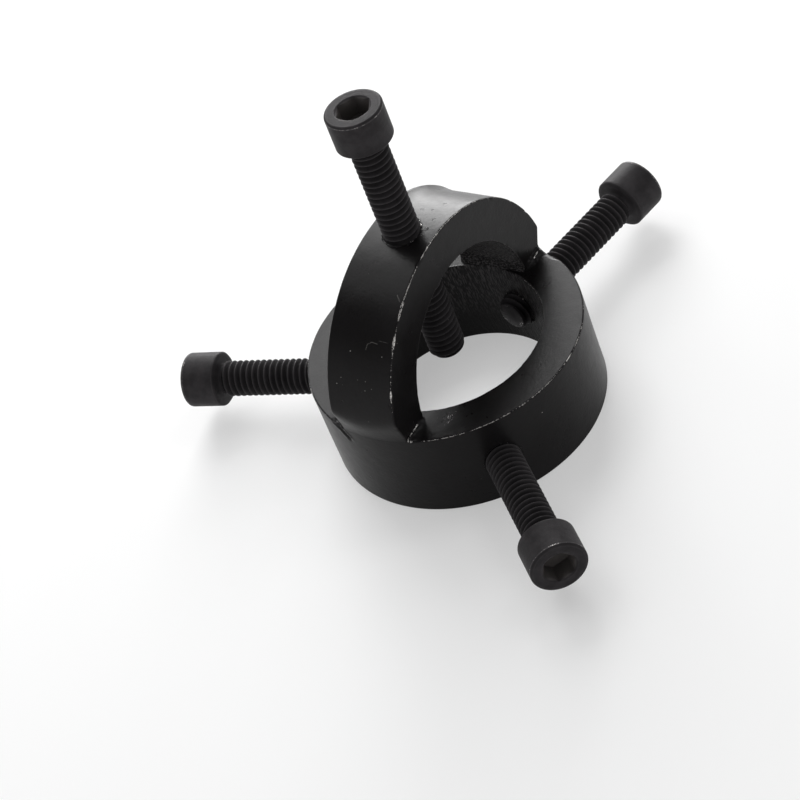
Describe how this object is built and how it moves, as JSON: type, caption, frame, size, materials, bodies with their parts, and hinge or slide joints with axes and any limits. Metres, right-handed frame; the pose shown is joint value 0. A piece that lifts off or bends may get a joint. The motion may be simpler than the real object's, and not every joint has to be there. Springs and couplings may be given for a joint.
{
  "type": "blower motor puller",
  "caption": "Hub puller for blower wheels: a grip ring with radial screws that hold the hub, and a welded bow with a forcing screw that pushes on the motor shaft.",
  "frame": {"origin": "centre of the grip ring's open end, the face that it stands on", "axes": "+Z along the ring's axis towards the forcing screw's head, +X towards the bow's right foot, which stands nearly over a grip screw"},
  "size_m": [0.1104, 0.113, 0.0822],
  "materials": {
    "black_coat": "satin",
    "black_oxide": "matte"
  },
  "bodies": {
    "frame": {"grip_ring": "black_coat", "bow": "black_coat", "weld_right_front": "black_coat", "weld_right_rear": "black_coat", "weld_left_front": "black_coat", "weld_left_rear": "black_coat"},
    "forcing_screw": {"forcing_screw": "black_oxide"},
    "grip_screw_right": {"grip_screw_right": "black_oxide"},
    "grip_screw_rear": {"grip_screw_rear": "black_oxide"},
    "grip_screw_front": {"grip_screw_front": "black_oxide"}
  },
  "joints": [
    {"name": "forcing_feed", "type": "slide", "parent": "frame", "child": "forcing_screw", "axis": [0, 0, -1], "range_m": [-0.0235, 0.024]},
    {"name": "grip_feed_right", "type": "slide", "parent": "frame", "child": "grip_screw_right", "axis": [-0.9806, 0.1959, 0], "range_m": [-0.003, 0.0135]},
    {"name": "grip_feed_rear", "type": "slide", "parent": "frame", "child": "grip_screw_rear", "axis": [0.2706, -0.9627, 0], "range_m": [-0.0043, 0.0122]},
    {"name": "grip_feed_front", "type": "slide", "parent": "frame", "child": "grip_screw_front", "axis": [0.6652, 0.7466, 0], "range_m": [-0.0038, 0.0127]}
  ]
}
